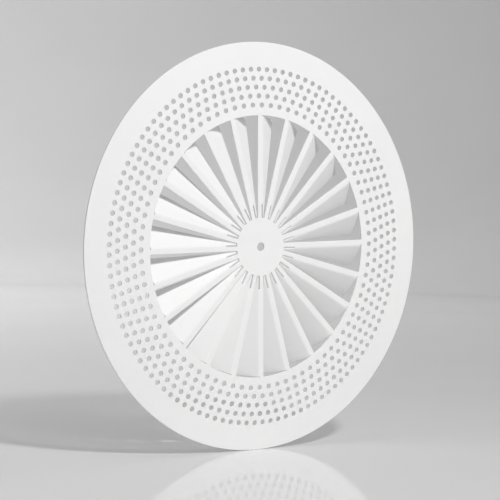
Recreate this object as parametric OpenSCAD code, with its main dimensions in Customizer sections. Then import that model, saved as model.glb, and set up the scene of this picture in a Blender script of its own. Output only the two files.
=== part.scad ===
// Round ceiling swirl diffuser: a pressed face plate with folded radial vanes and a perforated rim,
// held by four bayonet brackets on a shallow mounting ring. The face looks along -Y and +Z is up in
// the plane of the face. The origin is the centre of the plane that meets the ceiling or plenum.

/* [Face plate] */
// Outside diameter of the face plate
face_d = 400; // [396:1:420]
// Thickness of the face plate's sheet
sheet_t = 1.5; // [1:0.1:2]
// Diameter of the hole in the middle of the hub
centre_hole_d = 8.5; // [5:0.5:12]

/* [Swirl vanes] */
// Radius where the slots begin at the hub
slot_inner_r = 28.6; // [27:0.1:31]
// Radius where the slots end at the perforated band
slot_outer_r = 128.6; // [120:0.1:131]
// Direction of the first spoke, counter-clockwise from +X
first_spoke_deg = 2; // [0:0.5:14]
// Distance from a spoke's middle line to its cut edge
spoke_cut_side = 3.15; // [2.5:0.05:3.5]
// Distance from a spoke's middle line to the line where its vane starts to bend
spoke_bend_side = 1.25; // [1:0.05:2]
// Angle between the face plate and a vane
vane_fold_deg = 33; // [30:1:38]
// Width of the bend, measured over its front
bend_w = 3; // [2.5:0.5:6]
// Width of the cut between a vane and the rest of the sheet
kerf = 0.7; // [0.2:0.1:1]
// Width of the relief slit beside each spoke, next to the hub
relief_w = 1.5; // [1:0.1:2]
// Radius where the relief slit ends and the bend begins
relief_end_r = 42; // [38:0.5:46]

/* [Perforated band] */
// Number of rows of round holes
row_count = 5; // [3:1:5]
// Radius of the innermost row
first_row_r = 138.7; // [137:0.1:140]
// Distance from one row to the next
row_step = 8.66; // [8:0.01:8.8]
// Number of holes in the innermost row
first_row_holes = 80; // [64:8:80]
// Holes that each row has more than the row inside it
holes_per_row_more = 8; // [0:4:8]
// Diameter of each hole
perforation_d = 5; // [3:0.1:5.2]
// Direction where the rows start, midway between two holes
row_start_deg = 17.12; // [0:0.01:45]

/* [Mounting ring] */
// Inside radius of the mounting ring
ring_inner_r = 184.8; // [184.6:0.1:185.2]
// Outside radius of the mounting ring
ring_outer_r = 195.8; // [195:0.1:196]
// Thickness of the mounting ring's sheet
ring_t = 1.5; // [1.2:0.1:1.5]
// Thickness of the foam seal on the back of the face plate
seal_t = 2.4; // [2:0.1:2.5]
// Distance between the back of the face plate and the ring
plate_gap = 2.7; // [2.6:0.1:3]
// Thickness of the foam gasket behind the ring, as fitted
gasket_t = 2; // [1:0.1:2]
// Number of screws through the ring
screw_count = 8; // [4:4:8]
// Radius of the circle that the screws are on
screw_circle_r = 192.3; // [192.2:0.1:192.6]
// Direction of the first screw, counter-clockwise from +X
first_screw_deg = 22.5; // [20:0.5:25]
// Outside diameter of the screws' thread
screw_d = 3.9; // [3:0.1:4]
// Length of the screws under their heads
screw_length = 6; // [5:0.5:8]

/* [Bayonet] */
// Direction of the first bracket, counter-clockwise from +X
first_bracket_deg = 45; // [40:1:50]
// Arc that each bracket covers
bracket_arc_deg = 10; // [8:1:10]
// Angle that the face plate turns through between locked and free
release_deg = 14; // [13:1:14]
// Thickness of the brackets' sheet
bracket_t = 1.2; // [1:0.1:1.2]
// Clearance between a bracket and the ring
bracket_gap = 0.3; // [0.2:0.05:0.4]

/* [Hidden] */

powder_white = [0.93, 0.93, 0.92];
zinc_grey = [0.72, 0.74, 0.76];
steel_grey = [0.6, 0.61, 0.63];
foam_grey = [0.25, 0.26, 0.27];

vane_count = 24;     // one vane pressed out of each slot
bracket_count = 4;   // one node for each bracket

over = 1;         // how far a cutting body passes the face that it cuts
round_fn = 180;   // segments of the large circles
small_fn = 32;    // segments of the small holes and screws

// Depths are measured back from the front of the face plate.
ring_front = sheet_t + plate_gap;
ring_back = ring_front + ring_t;
mount_depth = ring_back + gasket_t;

pitch_deg = 360 / vane_count;
bend_r = bend_w / vane_fold_deg * 180 / PI;   // radius of the bend's front
root_w = 0.3;        // how far a vane's root reaches into its spoke
vane_inset = 0.02;   // how far a vane's faces lie inside the plate's faces where it leaves them
vane_w = 32;         // more than any vane measures across its flat, before its outline is cut

bracket_foot_in = 179;
bracket_riser_in = 183;
bracket_tip = 188.6;
bracket_front = ring_back + bracket_gap;
bracket_back = bracket_front + bracket_t;

notch_side_gap_deg = 1;   // clearance at each end of a notch
notch_gap = 0.6;          // clearance outside a bracket's tip
stop_gap_deg = 0.3;       // clearance between a bracket and a stop
stop_t = 1.5;             // width of a stop along the ring
stop_depth = 2.5;         // how far a stop stands back from the ring

seal_in = 185.2;
seal_out = 188.6;
gasket_in = 189.7;
gasket_out = 195;

screw_hole_d = screw_d + 0.4;
shank_d = screw_d - 0.5;   // the plain shank under the head, thinner than the thread
screw_head_d = 6.6;
screw_head_h = 2.3;
recess_d = 2.6;       // across the drive recess
recess_depth = 1.2;

// Everything below is drawn with its face up, the front of the face plate at z = 0 and its own back
// below it. This stands it upright with the face along -Y and the mounting plane at y = 0.
module stand() {
    rotate([90, 0, 0]) translate([0, 0, mount_depth]) children();
}

// A flat ring, or an arc of one, between two depths
module band(inner_r, outer_r, front, back, arc = 360, start = 0) {
    rotate([0, 0, start])
        translate([0, 0, -back])
            rotate_extrude(angle = arc, $fn = round_fn)
                translate([inner_r, 0]) square([outer_r - inner_r, back - front]);
}

// The outline of one slot: from the bend line of its own spoke to the cut edge of the spoke before
module slot_outline() {
    spoke = first_spoke_deg;
    difference() {
        intersection() {
            circle(slot_outer_r, $fn = round_fn);
            rotate(spoke)
                translate([0, -slot_outer_r - spoke_bend_side])
                    square([2 * slot_outer_r, slot_outer_r]);
            rotate(spoke - pitch_deg)
                translate([0, spoke_cut_side])
                    square([2 * slot_outer_r, slot_outer_r]);
        }
        circle(slot_inner_r, $fn = round_fn);
    }
}

module perforation() {
    for (row = [0 : row_count - 1]) {
        holes = first_row_holes + row * holes_per_row_more;
        for (i = [0 : holes - 1])
            rotate(row_start_deg + (i + 0.5) * 360 / holes)
                translate([first_row_r + row * row_step, 0])
                    circle(d = perforation_d, $fn = small_fn);
    }
}

// The flat outline of the vane whose spoke is along +X, as if it were not yet bent
module vane_outline() {
    difference() {
        intersection() {
            circle(slot_outer_r - kerf, $fn = round_fn);
            rotate(-pitch_deg)
                translate([0, spoke_cut_side + kerf])
                    square([2 * slot_outer_r, slot_outer_r]);
        }
        circle(slot_inner_r + kerf, $fn = round_fn);
    }
}

// Section across a vane, from its root in the spoke over the bend to its flat
module vane_section() {
    t = sheet_t - 2 * vane_inset;
    outer = bend_r - vane_inset;
    far = 2 * bend_r;
    translate([0, vane_inset - sheet_t]) square([root_w, t]);
    translate([0, -bend_r]) {
        intersection() {
            difference() {
                circle(outer, $fn = round_fn);
                circle(outer - t, $fn = round_fn);
            }
            polygon([[0, 0], [0, far], [-far * sin(vane_fold_deg), far * cos(vane_fold_deg)]]);
        }
        rotate(vane_fold_deg)
            translate([-vane_w, outer - t]) square([vane_w, t]);
    }
}

// One vane, bent back from the spoke along +X. Its edges are cut square to its flat.
module vane() {
    difference() {
        intersection() {
            translate([0, -spoke_bend_side, 0])
                rotate([90, 0, 90]) linear_extrude(slot_outer_r) vane_section();
            translate([0, -spoke_bend_side, -bend_r])
                rotate([vane_fold_deg, 0, 0])
                    translate([0, spoke_bend_side + bend_w, -bend_r])
                        linear_extrude(3 * bend_r) vane_outline();
        }
        translate([0, -spoke_bend_side - relief_w, -3 * sheet_t])
            cube([relief_end_r, relief_w + over, 4 * sheet_t]);
    }
}

module face_plate() {
    color(powder_white)
        stand() {
            translate([0, 0, -sheet_t])
                linear_extrude(sheet_t)
                    difference() {
                        circle(d = face_d, $fn = round_fn);
                        circle(d = centre_hole_d, $fn = small_fn);
                        for (i = [0 : vane_count - 1])
                            rotate(i * pitch_deg) slot_outline();
                        perforation();
                    }
            for (i = [0 : vane_count - 1])
                rotate([0, 0, first_spoke_deg + i * pitch_deg]) vane();
        }
}

// A Z-shaped bracket: its foot is on the face plate, its tongue lies behind the ring
module bayonet_bracket(i) {
    start = first_bracket_deg + i * 360 / bracket_count - bracket_arc_deg / 2;
    color(zinc_grey)
        stand() {
            band(bracket_foot_in, bracket_riser_in + bracket_t, sheet_t, sheet_t + bracket_t,
                bracket_arc_deg, start);
            band(bracket_riser_in, bracket_riser_in + bracket_t, sheet_t, bracket_back,
                bracket_arc_deg, start);
            band(bracket_riser_in, bracket_tip, bracket_front, bracket_back, bracket_arc_deg, start);
        }
}

module plate_seal() {
    color(foam_grey)
        stand()
            band(seal_in, seal_out, sheet_t, sheet_t + seal_t);
}

module screw_places() {
    for (i = [0 : screw_count - 1])
        rotate([0, 0, first_screw_deg + i * 360 / screw_count])
            translate([screw_circle_r, 0, 0]) children();
}

module screw_holes(front, back) {
    screw_places()
        translate([0, 0, -back - over])
            cylinder(h = back - front + 2 * over, d = screw_hole_d, $fn = small_fn);
}

// The notches let the tongues through. A stop beside each notch and one beside each locked tongue
// end the turn.
module mounting_ring() {
    lock_stop_deg = -bracket_arc_deg / 2 - stop_gap_deg;
    free_stop_deg = release_deg + bracket_arc_deg / 2 + stop_gap_deg;
    stop_arc_deg = stop_t / ring_inner_r * 180 / PI;
    notch_arc_deg = bracket_arc_deg + 2 * notch_side_gap_deg;
    color(zinc_grey)
        stand() {
            difference() {
                band(ring_inner_r, ring_outer_r, ring_front, ring_back);
                screw_holes(ring_front, ring_back);
                for (i = [0 : bracket_count - 1])
                    band(ring_inner_r - over, bracket_tip + notch_gap, ring_front - over,
                        ring_back + over, notch_arc_deg,
                        first_bracket_deg + i * 360 / bracket_count + release_deg
                            - notch_arc_deg / 2);
            }
            for (i = [0 : bracket_count - 1]) {
                bracket_deg = first_bracket_deg + i * 360 / bracket_count;
                band(ring_inner_r, bracket_tip, ring_front, ring_back + stop_depth,
                    stop_arc_deg, bracket_deg + lock_stop_deg - stop_arc_deg);
                band(ring_inner_r, bracket_tip, ring_front, ring_back + stop_depth,
                    stop_arc_deg, bracket_deg + free_stop_deg + notch_side_gap_deg);
            }
        }
}

module ceiling_gasket() {
    color(foam_grey)
        stand()
            difference() {
                band(gasket_in, gasket_out, ring_back, mount_depth);
                screw_holes(ring_back, mount_depth);
            }
}

// Each screw's plain shank ends at the mounting plane, and its thread stands out behind it.
module ring_screws() {
    color(steel_grey)
        stand()
            screw_places()
                difference() {
                    union() {
                        translate([0, 0, -ring_front])
                            cylinder(h = screw_head_h, d = screw_head_d, $fn = small_fn);
                        translate([0, 0, -mount_depth])
                            cylinder(h = mount_depth - ring_front + screw_head_h / 2, d = shank_d,
                                $fn = small_fn);
                        translate([0, 0, -ring_front - screw_length])
                            cylinder(h = ring_front + screw_length - mount_depth, d = screw_d,
                                $fn = small_fn);
                    }
                    translate([0, 0, screw_head_h - ring_front - recess_depth])
                        cylinder(h = recess_depth + over, d = recess_d, $fn = 6);
                }
}

face_plate();
bayonet_bracket(0);  // bayonet_bracket_1
bayonet_bracket(1);  // bayonet_bracket_2
bayonet_bracket(2);  // bayonet_bracket_3
bayonet_bracket(3);  // bayonet_bracket_4
plate_seal();
mounting_ring();
ceiling_gasket();
ring_screws();
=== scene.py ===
import math

import bmesh
import bpy
import numpy as np
from mathutils import Matrix, Vector
from mathutils.geometry import delaunay_2d_cdt

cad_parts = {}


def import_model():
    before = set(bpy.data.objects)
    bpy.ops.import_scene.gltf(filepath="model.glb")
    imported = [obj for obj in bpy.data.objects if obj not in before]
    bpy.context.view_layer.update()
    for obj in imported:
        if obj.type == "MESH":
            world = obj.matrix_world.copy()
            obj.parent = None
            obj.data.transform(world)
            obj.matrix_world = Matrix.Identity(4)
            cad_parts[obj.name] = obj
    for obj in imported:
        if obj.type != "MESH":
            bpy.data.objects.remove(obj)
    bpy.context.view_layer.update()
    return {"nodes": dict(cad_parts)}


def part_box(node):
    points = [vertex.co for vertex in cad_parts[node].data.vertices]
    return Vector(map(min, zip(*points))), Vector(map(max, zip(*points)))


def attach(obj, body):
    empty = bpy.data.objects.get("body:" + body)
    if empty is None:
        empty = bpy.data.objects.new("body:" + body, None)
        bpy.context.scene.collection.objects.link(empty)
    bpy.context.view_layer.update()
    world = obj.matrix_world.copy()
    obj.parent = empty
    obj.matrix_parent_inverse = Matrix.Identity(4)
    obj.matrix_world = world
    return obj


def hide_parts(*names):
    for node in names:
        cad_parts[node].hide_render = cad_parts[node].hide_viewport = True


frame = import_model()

# Sizes are in millimetres, as in part.scad, until a mesh is made. A point of the flat sheet is (x, z)
# as seen from the front, and its depth is measured back from the front of the face plate.
MM = 0.001
plate_low, plate_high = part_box("face_plate")
PLATE_R = (plate_high.x - plate_low.x) / 2 / MM
FRONT = plate_low.y

SHEET = 1.5                   # thickness of the face plate
FRONT_EDGE = 0.35             # radius of its front edges, drawn in by the punch and painted over
BACK_EDGE = 0.15              # radius of its back edges
CENTRE_HOLE_R = 4.25

VANES = 24
FIRST_SPOKE = 2.0             # direction of the first spoke
SLOT_IN, SLOT_OUT = 28.6, 128.6
CUT_SIDE, BEND_SIDE = 3.15, 1.25
FOLD = math.radians(33)       # between the plate and a vane
BEND_W = 3.0                  # width of the bend over its front
KERF = 0.7
RELIEF_W, RELIEF_END = 1.5, 42.0

ROWS = 5
FIRST_ROW_R, ROW_STEP = 138.7, 8.66
FIRST_ROW_HOLES, HOLES_MORE = 80, 8
HOLE_R, HOLE_SIDES = 2.5, 20
ROW_START = 17.12             # a direction midway between two holes in every row

SECTORS = 8                   # the plate repeats this often
PITCH = 360 / VANES
BEND_R = BEND_W / FOLD        # radius of the bend's front


# ---------------------------------------------------------------- the pressed face plate

def turned(points, degrees):
    """Flat points turned counter-clockwise about the plate's centre."""
    c, s = math.cos(math.radians(degrees)), math.sin(math.radians(degrees))
    return np.asarray(points, float) @ np.array([[c, s], [-s, c]])


def arc(radius, start, end, step):
    """Points along a circle about the plate's centre, no more than a step apart."""
    count = max(1, math.ceil(abs(math.radians(end - start)) * radius / step))
    a = np.radians(np.linspace(start, end, count + 1))
    return np.stack([radius * np.cos(a), radius * np.sin(a)], 1)


def resampled(line, start, end, step):
    """The stretch of a line that leaves out a length at each end, in even steps."""
    along = np.concatenate([[0], np.cumsum(np.linalg.norm(np.diff(line, axis=0), axis=1))])
    count = max(1, math.ceil((along[-1] - start - end) / step))
    s = np.linspace(start, along[-1] - end, count + 1)
    return np.stack([np.interp(s, along, line[:, k]) for k in (0, 1)], 1)


def rounded_loop(sides, corners, corner_steps=4):
    """A closed outline of sides (line, step, on_vane), each corner rounded over a length of both its
    sides. corners[i] is that length where side i ends."""
    points, on_vane = [], []
    for i, (line, step, vane) in enumerate(sides):
        after = (i + 1) % len(sides)
        stretch = resampled(line, corners[i - 1], corners[i], step)
        points += list(stretch)
        on_vane += [vane] * len(stretch)
        following = resampled(sides[after][0], corners[i], corners[after], 1e9)
        a, b, c = stretch[-1], line[-1], following[0]
        for k in range(1, corner_steps):
            t = k / corner_steps
            points.append((1 - t) ** 2 * a + 2 * t * (1 - t) * b + t * t * c)
            on_vane.append(vane or sides[after][2])
    return np.array(points), np.array(on_vane)


def line_through(distance, r_start, r_end):
    """A straight line at this height above +X, between two distances from the centre."""
    return np.array([[math.sqrt(r * r - distance * distance), distance] for r in (r_start, r_end)])


def angle_at(radius, distance):
    """Direction of the point of a circle that is this far above +X."""
    return math.degrees(math.asin(distance / radius))


def vane_cut():
    """The cut that frees the vane of the spoke along +X: round the slot's outline one way and back
    along the vane's own edges."""
    bend, relief = -BEND_SIDE, -BEND_SIDE - RELIEF_W
    free = CUT_SIDE + KERF
    vane_in, vane_out = SLOT_IN + KERF, SLOT_OUT - KERF
    fine, coarse = 1.2, 5.0

    def before(points):
        return turned(points, -PITCH)

    sides = [
        (arc(SLOT_OUT, angle_at(SLOT_OUT, bend), angle_at(SLOT_OUT, CUT_SIDE) - PITCH, 1.0), 2.5, False),
        (before(line_through(CUT_SIDE, SLOT_OUT, SLOT_IN)), coarse, False),
        (arc(SLOT_IN, angle_at(SLOT_IN, CUT_SIDE) - PITCH, angle_at(SLOT_IN, bend), 0.5), fine, False),
        (np.array([line_through(bend, SLOT_IN, SLOT_OUT)[0], [RELIEF_END, bend]]), coarse, False),
        (np.array([[RELIEF_END, bend], [RELIEF_END, relief]]), fine, True),
        (np.array([[RELIEF_END, relief], line_through(relief, vane_in, vane_out)[0]]), 2.0, True),
        (arc(vane_in, angle_at(vane_in, relief), angle_at(vane_in, free) - PITCH, 0.3), 0.6, True),
        (before(line_through(free, vane_in, vane_out)), coarse, True),
        (arc(vane_out, angle_at(vane_out, free) - PITCH, angle_at(vane_out, bend), 1.0), fine, True),
        (np.array([line_through(bend, SLOT_IN, r)[1] for r in (vane_out, SLOT_OUT)]), fine, True),
    ]
    corners = [0.8, 0.5, 0.5, 0.5, 0.5, 0.5, 0.5, 1.1, 0.3, 0.3]
    return rounded_loop(sides, corners)


def into_void(points):
    """Unit directions from an outline's points to the side on its left, where the void is, and how
    much further than on a straight the edge reaches along them at a corner."""
    ahead = np.roll(points, -1, 0) - points
    ahead /= np.linalg.norm(ahead, axis=1)[:, None]
    left = np.stack([-ahead[:, 1], ahead[:, 0]], 1)
    total = left + np.roll(left, 1, 0)
    total /= np.linalg.norm(total, axis=1)[:, None]
    reach = 1 / np.clip((total * left).sum(1), 0.7, 1)
    return total, reach


def area(points):
    x, y = points[:, 0], points[:, 1]
    return (x * np.roll(y, -1) - y * np.roll(x, -1)).sum() / 2


def formed(points, depth, spoke, on_vane, side=None):
    """Where points of the flat blank are once the vanes are bent, the front's normal there, and
    where a flat direction points."""
    local = turned(points, -spoke)
    u, v = local[:, 0], -local[:, 1] - BEND_SIDE
    depth = np.asarray(depth, float)
    bent = on_vane & (v > 0)
    turn = np.where(bent, np.clip(v, 0, BEND_W) / BEND_R, 0)
    beyond = np.maximum(v - BEND_W, 0)
    c, s, none = np.cos(turn), np.sin(turn), np.zeros_like(turn)
    place = np.stack([u, np.where(bent, (BEND_R - depth) * s + beyond * c, v),
                      np.where(bent, BEND_R - (BEND_R - depth) * c + beyond * s, depth)], 1)
    normal = np.stack([none, s, -c], 1)
    if side is not None:
        d = turned(side, -spoke)
        side = np.stack([d[:, 0], -d[:, 1] * c, -d[:, 1] * s], 1)

    def in_frame(p, origin):
        flat = turned(np.stack([p[:, 0], -p[:, 1] - origin * BEND_SIDE], 1), spoke)
        return np.stack([flat[:, 0], p[:, 2], flat[:, 1]], 1)

    return in_frame(place, 1), in_frame(normal, 0), None if side is None else in_frame(side, 0)


class Sheet:
    """Collects the vertices, their normals and the faces of one sector of the plate."""

    # Across an edge, from the front face over the cut wall to the back face: how far in from the
    # cut, how deep, and how far the normal has turned from the cut's side to the face
    SECTION = [(FRONT_EDGE * (1 - math.cos(t)), FRONT_EDGE * (1 - math.sin(t)), t)
               for t in np.radians([90, 45, 0])]
    SECTION += [(BACK_EDGE * (1 - math.cos(t)), SHEET - BACK_EDGE * (1 - math.sin(t)), -t)
                for t in np.radians([0, 45, 90])]

    def __init__(self):
        self.places, self.normals, self.faces, self.count = [], [], [], 0
        self.flat, self.front, self.back = [], [], []

    def add(self, places, normals):
        """Adds vertices and gives their numbers."""
        self.places.append(places)
        self.normals.append(normals)
        self.count += len(places)
        return np.arange(self.count - len(places), self.count)

    def edge(self, points, void, reach, spoke=0.0, on_vane=None, closed=True):
        """A cut edge with its rounding: rings of vertices across it, joined by quads."""
        n = len(points)
        on_vane = np.zeros(n, bool) if on_vane is None else on_vane
        rings = []
        for inward, depth, t in self.SECTION:
            flat = points - void * (inward * reach)[:, None]
            place, normal, side = formed(flat, np.full(n, depth), spoke, on_vane, void)
            facing = side * math.cos(t) + normal * math.sin(t)
            rings.append(self.add(place, facing))
        first = len(self.flat)
        self.flat += list(points - void * (FRONT_EDGE * reach)[:, None])
        self.front += list(rings[0])
        self.back += list(rings[-1])
        last = n if closed else n - 1
        for a, b in zip(rings, rings[1:]):
            for i in range(last):
                j = (i + 1) % n
                self.faces.append((a[i], a[j], b[j], b[i]))
        return list(range(first, first + n))

    def inside(self, points, spoke=0.0, on_vane=False):
        """Vertices within the sheet, one on the front and one on the back."""
        n = len(points)
        flags = np.full(n, on_vane)
        first = len(self.flat)
        for depth, facing, ids in ((0, 1, self.front), (SHEET, -1, self.back)):
            place, normal, _ = formed(points, np.full(n, depth), spoke, flags)
            ids += list(self.add(place, normal * facing))
        self.flat += list(points)
        return list(range(first, first + n))

    def fill(self, outline, holes, lines):
        """Triangles between the outline and the holes, on the front and on the back."""
        rings = [outline] + holes
        faces = []
        for ring in rings:
            ring = list(ring)
            if area(np.array([self.flat[i] for i in ring])) < 0:
                ring.reverse()
            faces.append(ring)
        edges = [(a, b) for line in lines for a, b in zip(line, line[1:])]
        flat = [Vector(p) for p in self.flat]
        verts, _, tris, ids, _, owners = delaunay_2d_cdt(flat, edges, faces, 1, 1e-7)
        for tri, owner in zip(tris, owners):
            if list(owner) != [0]:
                continue
            a, b, c = [ids[i][0] for i in tri]
            self.faces.append((self.front[a], self.front[b], self.front[c]))
            self.faces.append((self.back[c], self.back[b], self.back[a]))


def vane_points():
    """Points over the vane of the spoke along +X, in rows along its bend, clear of its edges."""
    clear, step, last_row = 0.6, 3.4, 29
    points = []
    rows = list(np.arange(1, BEND_W + 0.5, 1.0)) + list(np.arange(BEND_W + 3, last_row, 3.0))
    for k, v in enumerate(rows):
        for x in np.arange(SLOT_IN + step / 2 * (k % 2), SLOT_OUT, step):
            y = -BEND_SIDE - v
            over_free_edge = turned([[x, y]], PITCH)[0][1] - CUT_SIDE - KERF
            in_relief = x < RELIEF_END + clear and v < RELIEF_W + clear
            if (SLOT_IN + KERF + clear < math.hypot(x, y) < SLOT_OUT - KERF - clear
                    and over_free_edge > clear and not in_relief):
                points.append((x, y))
    return np.array(points)


def shown(name, verts, faces):
    """A smooth piece of these vertices and faces, in the scene."""
    mesh = bpy.data.meshes.new(name)
    mesh.from_pydata(verts, [], faces)
    mesh.polygons.foreach_set("use_smooth", [True] * len(mesh.polygons))
    piece = bpy.data.objects.new(name, mesh)
    bpy.context.scene.collection.objects.link(piece)
    return piece


def face_plate():
    """One sector of the plate, repeated all round and joined."""
    sheet = Sheet()
    start, end = ROW_START, ROW_START + 360 / SECTORS
    holes, lines = [], []

    rim = arc(PLATE_R, start, end, 3.5)
    rim_void = rim / PLATE_R
    rim_ids = sheet.edge(rim, rim_void, np.ones(len(rim)), closed=False)
    hub = arc(CENTRE_HOLE_R, end, start, 0.45)
    hub_ids = sheet.edge(hub, -hub / CENTRE_HOLE_R, np.ones(len(hub)), closed=False)
    radii = np.concatenate([np.arange(8, PLATE_R - 8, 12.0), [PLATE_R - 6]])
    sides = [sheet.inside(turned(np.stack([radii, 0 * radii], 1), a)) for a in (start, end)]
    outline = rim_ids + sides[1][::-1] + hub_ids + sides[0]

    cut, on_vane = vane_cut()
    if area(cut) < 0:
        cut, on_vane = cut[::-1].copy(), on_vane[::-1].copy()
    void, reach = into_void(cut)
    bend = np.arange(RELIEF_END + 2, SLOT_OUT - 1.2, 3.6)
    bend = np.stack([bend, np.full(len(bend), -BEND_SIDE)], 1)
    spread = vane_points()
    for i in range(VANES // SECTORS):
        spoke = FIRST_SPOKE + (i + 2) * PITCH
        holes.append(sheet.edge(turned(cut, spoke), turned(void, spoke), reach, spoke, on_vane))
        lines.append(sheet.inside(turned(bend, spoke), spoke))
        sheet.inside(turned(spread, spoke), spoke, True)

    steps = np.radians(np.arange(HOLE_SIDES) * 360 / HOLE_SIDES)
    ring = np.stack([np.cos(steps), np.sin(steps)], 1)
    for row in range(ROWS):
        count = FIRST_ROW_HOLES + row * HOLES_MORE
        for i in range(count // SECTORS):
            a = ROW_START + (i + 0.5) * 360 / count
            centre = turned([[FIRST_ROW_R + row * ROW_STEP, 0]], a)
            holes.append(sheet.edge(centre + HOLE_R * ring, -ring, np.ones(len(ring))))
    sheet.fill(outline, holes, lines)

    places, normals = np.concatenate(sheet.places), np.concatenate(sheet.normals)
    all_places, all_normals, faces = [], [], []
    for k in range(SECTORS):
        a = math.radians(k * 360 / SECTORS)
        spin = np.array([[math.cos(a), 0, math.sin(a)], [0, 1, 0], [-math.sin(a), 0, math.cos(a)]])
        all_places.append(places @ spin)
        all_normals.append(normals @ spin)
        faces += [tuple(int(i) + k * len(places) for i in f) for f in sheet.faces]
    where = np.concatenate(all_places) * MM + np.array([0, FRONT, 0])
    plate = shown("pressed_plate", where.tolist(), faces)
    mesh = plate.data
    facing = mesh.attributes.new("facing", "FLOAT_VECTOR", "POINT")
    facing.data.foreach_set("vector", np.concatenate(all_normals).astype(np.float32).ravel())
    work = bmesh.new()
    work.from_mesh(mesh)
    bmesh.ops.remove_doubles(work, verts=work.verts, dist=1e-6)
    bmesh.ops.recalc_face_normals(work, faces=work.faces)
    work.to_mesh(mesh)
    work.free()
    facing = np.zeros(len(mesh.vertices) * 3, np.float32)
    mesh.attributes["facing"].data.foreach_get("vector", facing)
    mesh.attributes.remove(mesh.attributes["facing"])
    mesh.normals_split_custom_set_from_vertices(facing.reshape(-1, 3).tolist())
    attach(plate, "plate")
    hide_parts("face_plate")
    return plate


# ---------------------------------------------------------------- screws, welds and softened edges

SCREWS, SCREW_CIRCLE, FIRST_SCREW, SCREW_LENGTH = 8, 192.3, 22.5, 6.0
THREAD_R, CORE_R, SHANK_R, THREAD_PITCH = 1.95, 1.5, 1.7, 1.3
HEAD_R, HEAD_H, SOCKET_R, SOCKET_DEPTH = 3.3, 2.3, 1.3, 1.2
CROWN_R, CROWN_LOW = 1.7, 0.5   # the head's flat top, and the foot of its dome above its base
SCREW_SIDES = 36
SCREW_TWIST = 0.7               # how much further in than the one before a screw is driven, in radians
POINT_R = 0.01                  # radius that closes a turned shape on its axis

WELD_CIRCLE, WELD_SPREAD, WELD_SIDES = 181.1, 3.2, 24
BRACKETS, BRACKET_SHEET = 4, 1.2
# Radius and height of a spot weld's mark, from its middle out
WELD_PROFILE = [(POINT_R, 0.03), (0.5, 0.04), (0.85, 0.09), (1.1, 0.13), (1.3, 0.11), (1.45, 0.03),
                (1.5, -0.1)]


def screw_rings(angles, under_head):
    """Rings of (radius at each angle, height) from the socket's bottom over the head and down the
    shank and the thread to the tip. Heights are measured forward from under the head."""
    one = np.ones(len(angles))
    corner = np.mod(angles, math.pi / 3) - math.pi / 6
    hexagon = SOCKET_R * math.cos(math.pi / 6) / np.cos(corner)
    floor = HEAD_H - SOCKET_DEPTH
    rings = [(POINT_R * one, floor - 0.35), (0.5 * one, floor - 0.2), (hexagon * 0.97, floor),
             (hexagon, floor + 0.05), (hexagon, HEAD_H - 0.14), (hexagon + 0.1, HEAD_H - 0.02)]
    dome_steps, thread_steps = 7, 60
    for k in range(1, dome_steps + 1):
        t = math.radians(90 * k / dome_steps)
        radius = CROWN_R + (HEAD_R - CROWN_R) * math.sin(t)
        rings.append((radius * one, CROWN_LOW + (HEAD_H - CROWN_LOW) * math.cos(t)))
    thread_start, tip = under_head, -SCREW_LENGTH   # the thread starts at the mounting plane
    rings += [(HEAD_R * one, 0.12), ((HEAD_R - 0.12) * one, 0.0), (SHANK_R * one, 0.0),
              (SHANK_R * one, thread_start + 0.05)]
    for k in range(thread_steps + 1):
        height = thread_start + (tip - thread_start) * k / thread_steps
        phase = np.mod(height / THREAD_PITCH + angles / (2 * math.pi), 1)
        ridge = np.clip(1.25 - 4 * np.abs(phase - 0.5), 0, 1)
        taper = min(1.0, (height - tip) / 0.7 + 0.45)
        radius = (CORE_R + (THREAD_R - CORE_R) * ridge) * taper
        rings.append((np.minimum(radius, THREAD_R), height))
    rings.append((POINT_R * one, tip))
    return rings


def add_turned(verts, faces, rings, angles, centre, base, way):
    """Adds a turned shape that stands over a centre on the plate, its faces outward. Its rings are
    (radius at each angle, height), and heights run from the base: forward if way is -1, back if 1."""
    first, n = len(verts), len(angles)
    for radius, height in rings:
        for r, t in zip(radius, angles):
            verts.append(((centre[0] + r * math.cos(t)) * MM, (base + way * height) * MM,
                          (centre[1] + r * math.sin(t)) * MM))
    for k in range(len(rings) - 1):
        for j in range(n):
            b, after = first + k * n, (j + 1) % n
            face = b + j, b + n + j, b + n + after, b + after
            faces.append(face if way < 0 else (face[0], *face[:0:-1]))


def ring_screws():
    """The eight screws: pan heads with hexagon sockets, plain shanks and cut threads."""
    under_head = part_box("ring_screws")[1].y / MM - SCREW_LENGTH
    angles = np.arange(SCREW_SIDES) * 2 * math.pi / SCREW_SIDES
    rings = screw_rings(angles, under_head)
    verts, faces = [], []
    for i in range(SCREWS):
        a = math.radians(FIRST_SCREW + i * 360 / SCREWS)
        centre = SCREW_CIRCLE * math.cos(a), SCREW_CIRCLE * math.sin(a)
        add_turned(verts, faces, rings, angles + SCREW_TWIST * i, centre, under_head, -1)
    screws = shown("threaded_screws", verts, faces)
    screws.data.set_sharp_from_angle(angle=math.radians(38))
    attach(screws, "ring")
    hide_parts("ring_screws")
    return screws


def spot_welds():
    """The dished marks that two spot welds leave on the foot of each bracket."""
    angles = np.arange(WELD_SIDES) * 2 * math.pi / WELD_SIDES
    rings = [(r * np.ones(WELD_SIDES), h) for r, h in WELD_PROFILE]
    verts, faces = [], []
    for number in range(1, BRACKETS + 1):
        low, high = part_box("bayonet_bracket_%d" % number)
        middle = (low + high) / 2
        foot_back = low.y / MM + BRACKET_SHEET
        direction = math.atan2(middle.z, middle.x)
        for side in (-1, 1):
            a = direction + math.radians(side * WELD_SPREAD)
            centre = WELD_CIRCLE * math.cos(a), WELD_CIRCLE * math.sin(a)
            add_turned(verts, faces, rings, angles, centre, foot_back, 1)
    welds = shown("spot_welds", verts, faces)
    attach(welds, "plate")
    return welds


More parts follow.
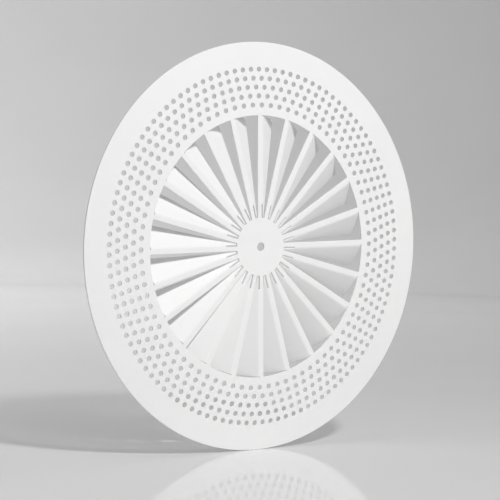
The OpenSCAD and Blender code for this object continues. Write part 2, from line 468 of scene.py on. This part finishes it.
def soften(node, width, material):
    """Gives a carried-over node worn edges and its finish."""
    piece = frame["nodes"][node]
    bevel = piece.modifiers.new("edges", "BEVEL")
    bevel.width = width * MM
    bevel.segments = 2
    bevel.limit_method = "ANGLE"
    bevel.angle_limit = math.radians(40)
    bevel.harden_normals = True
    piece.data.materials.clear()
    piece.data.materials.append(material)


# ---------------------------------------------------------------- materials

def new_material(name):
    """A material with its nodes, its links and its shader."""
    material = bpy.data.materials.new(name)
    material.use_nodes = True
    nodes, links = material.node_tree.nodes, material.node_tree.links
    return material, nodes, links, nodes["Principled BSDF"]


def object_noise(nodes, links, scale, detail=2.0, stretch=(1, 1, 1)):
    """Noise fixed to the piece."""
    where = nodes.new("ShaderNodeTexCoord")
    mapping = nodes.new("ShaderNodeMapping")
    mapping.inputs["Scale"].default_value = stretch
    noise = nodes.new("ShaderNodeTexNoise")
    noise.inputs["Scale"].default_value = scale
    noise.inputs["Detail"].default_value = detail
    links.new(where.outputs["Object"], mapping.inputs["Vector"])
    links.new(mapping.outputs["Vector"], noise.inputs["Vector"])
    return noise


def object_cells(nodes, links, scale):
    """Random cells fixed to the piece."""
    where = nodes.new("ShaderNodeTexCoord")
    cells = nodes.new("ShaderNodeTexVoronoi")
    cells.inputs["Scale"].default_value = scale
    links.new(where.outputs["Object"], cells.inputs["Vector"])
    return cells


def ramp(nodes, links, source, low, high):
    """Maps a 0 to 1 value onto the span between two grey or colour values."""
    node = nodes.new("ShaderNodeValToRGB")
    node.color_ramp.elements[0].position = 0.3
    node.color_ramp.elements[1].position = 0.7
    for element, value in zip(node.color_ramp.elements, (low, high)):
        element.color = (*value, 1) if isinstance(value, tuple) else (value, value, value, 1)
    links.new(source, node.inputs["Fac"])
    return node.outputs["Color"]


def bump(nodes, links, source, distance, strength):
    """A normal that a 0 to 1 value makes uneven, by this many metres at full strength."""
    node = nodes.new("ShaderNodeBump")
    node.inputs["Distance"].default_value = distance
    node.inputs["Strength"].default_value = strength
    links.new(source, node.inputs["Height"])
    return node.outputs["Normal"]


def powder_coat():
    """White paint, finely grained and very slightly uneven in tone."""
    material, nodes, links, shader = new_material("powder_coat")
    cloud = object_noise(nodes, links, 9.0, 3.0)
    links.new(ramp(nodes, links, cloud.outputs["Fac"], (0.86, 0.862, 0.86), (0.885, 0.885, 0.88)),
              shader.inputs["Base Color"])
    grain = object_noise(nodes, links, 900.0, 2.0)
    links.new(ramp(nodes, links, grain.outputs["Fac"], 0.5, 0.62), shader.inputs["Roughness"])
    links.new(bump(nodes, links, grain.outputs["Fac"], 0.00006, 0.5), shader.inputs["Normal"])
    return material


def bare_metal(name, dark, light, rough, grain_scale, stretch, spangle=0.0):
    """Metal between two colours and two roughnesses. A spangle is its crystals per metre."""
    material, nodes, links, shader = new_material(name)
    shader.inputs["Metallic"].default_value = 1.0
    if spangle:
        shade = nodes.new("ShaderNodeSeparateColor")
        links.new(object_cells(nodes, links, spangle).outputs["Color"], shade.inputs["Color"])
        source = shade.outputs["Red"]
    else:
        source = object_noise(nodes, links, 60.0, 4.0).outputs["Fac"]
    links.new(ramp(nodes, links, source, dark, light), shader.inputs["Base Color"])
    grain = object_noise(nodes, links, grain_scale, 3.0, stretch)
    links.new(ramp(nodes, links, grain.outputs["Fac"], *rough), shader.inputs["Roughness"])
    links.new(bump(nodes, links, grain.outputs["Fac"], 0.00004, 0.4), shader.inputs["Normal"])
    return material


def foam(name, dark, light):
    """Dull foam with its cells showing as small pits, each pit painted darker towards its middle as
    painted shade.
    """
    material, nodes, links, shader = new_material(name)
    cells = object_cells(nodes, links, 2200.0)
    # Painted shade: the colour darkens towards each cell's middle, where the bump below dents the pit
    links.new(ramp(nodes, links, cells.outputs["Distance"], dark, light), shader.inputs["Base Color"])
    soft = object_noise(nodes, links, 45.0, 3.0)
    links.new(ramp(nodes, links, soft.outputs["Fac"], 0.8, 0.97), shader.inputs["Roughness"])
    links.new(bump(nodes, links, cells.outputs["Distance"], 0.0003, 0.7), shader.inputs["Normal"])
    return material


# ---------------------------------------------------------------- camera, light and floor

# The photograph's camera, fitted to the disc, its rows of holes, its spokes and its slots. Metres.
CAMERA_PLACE = (-0.952, -1.290, 0.055)
CAMERA_FORWARD, CAMERA_UP = (0.5904, 0.8063, -0.0365), (0.0, 0.0452, 0.9990)
SENSOR_W, LENS = 36.0, 117.3


def camera():
    data = bpy.data.cameras.new("camera")
    data.sensor_width = SENSOR_W
    data.lens = LENS
    data.clip_end = 50
    camera = bpy.data.objects.new("camera", data)
    bpy.context.scene.collection.objects.link(camera)
    forward = Vector(CAMERA_FORWARD).normalized()
    up = Vector(CAMERA_UP)
    right = forward.cross(up).normalized()
    up = right.cross(forward)
    turn = Matrix((right, up, -forward)).transposed().to_4x4()
    camera.matrix_world = Matrix.Translation(CAMERA_PLACE) @ turn
    bpy.context.scene.camera = camera


def area_light(name, place, target, size, power, spread=180):
    """A round light, aimed at a target. Its spread is in degrees."""
    data = bpy.data.lights.new(name, "AREA")
    data.shape = "DISK"
    data.size = size
    data.energy = power
    data.spread = math.radians(spread)
    light = bpy.data.objects.new(name, data)
    light.location = place
    light.rotation_euler = (Vector(target) - Vector(place)).to_track_quat("-Z", "Y").to_euler()
    bpy.context.scene.collection.objects.link(light)
    return light


def studio():
    """A pale floor that curves up into a wall all round, so no horizon shows."""
    floor_r, fillet_r, wall_top = 2.6, 1.6, 3.6
    profile = [(0.001, 0.0), (0.5, 0.0), (1.2, 0.0), (2.0, 0.0)]
    for k in range(17):
        a = math.radians(90 * k / 16)
        profile.append((floor_r + fillet_r * math.sin(a), fillet_r * (1 - math.cos(a))))
    profile.append((floor_r + fillet_r, wall_top))
    sides = 96
    floor_z = plate_low.z
    verts = [(r * math.cos(2 * math.pi * i / sides), r * math.sin(2 * math.pi * i / sides), floor_z + z)
             for r, z in profile for i in range(sides)]
    faces = [(k * sides + i, k * sides + (i + 1) % sides, (k + 1) * sides + (i + 1) % sides,
              (k + 1) * sides + i) for k in range(len(profile) - 1) for i in range(sides)]
    faces.append(tuple(range(sides)))
    floor = shown("floor", verts, faces)
    material, nodes, links, shader = new_material("floor")
    grain = object_noise(nodes, links, 3.0)
    links.new(ramp(nodes, links, grain.outputs["Fac"], 0.78, 0.8), shader.inputs["Base Color"])
    shader.inputs["Roughness"].default_value = 0.07
    shader.inputs["Specular IOR Level"].default_value = 0.5
    floor.data.materials.append(material)
    world = bpy.data.worlds.new("world")
    world.use_nodes = True
    world.node_tree.nodes["Background"].inputs["Color"].default_value = (1, 1, 1, 1)
    world.node_tree.nodes["Background"].inputs["Strength"].default_value = 0.35
    bpy.context.scene.world = world
    bpy.context.scene.view_settings.view_transform = "Standard"


camera()
studio()
area_light("key", (-0.05, -1.9, 1.85), (0, 0, 0), 0.3, 12.4, 100)
area_light("fill", (0.6, -2.1, 1.0), (0, 0, 0), 1.6, 7)
wall = area_light("wall", (0.1, 1.9, 1.5), (0.9, 3.4, 0.0), 0.9, 24)
rear = area_light("rear", (1.0, 2.2, 1.3), (0, 0, 0), 1.8, 5)
for light in (wall, rear):
    light.visible_glossy = False   # the glossy floor doesn't mirror their discs

plate = face_plate()
plate.data.materials.append(powder_coat())
screws = ring_screws()
screws.data.materials.append(
    bare_metal("screw_steel", (0.55, 0.56, 0.58), (0.66, 0.67, 0.68), (0.28, 0.42), 400.0, (1, 1, 1)))
zinc = bare_metal("zinc_plate", (0.6, 0.63, 0.66), (0.72, 0.74, 0.75), (0.26, 0.4), 120.0, (1, 8, 1))
spot_welds().data.materials.append(zinc)
for i in range(1, BRACKETS + 1):
    soften("bayonet_bracket_%d" % i, 0.2, zinc)
soften("mounting_ring", 0.15, bare_metal("galvanised_steel", (0.56, 0.59, 0.61), (0.66, 0.68, 0.7),
                                         (0.32, 0.5), 200.0, (1, 1, 1), 160.0))
soften("plate_seal", 0.3, foam("seal_foam", (0.05, 0.05, 0.053), (0.07, 0.07, 0.073)))
soften("ceiling_gasket", 0.25, foam("gasket_foam", (0.065, 0.065, 0.068), (0.09, 0.09, 0.094)))
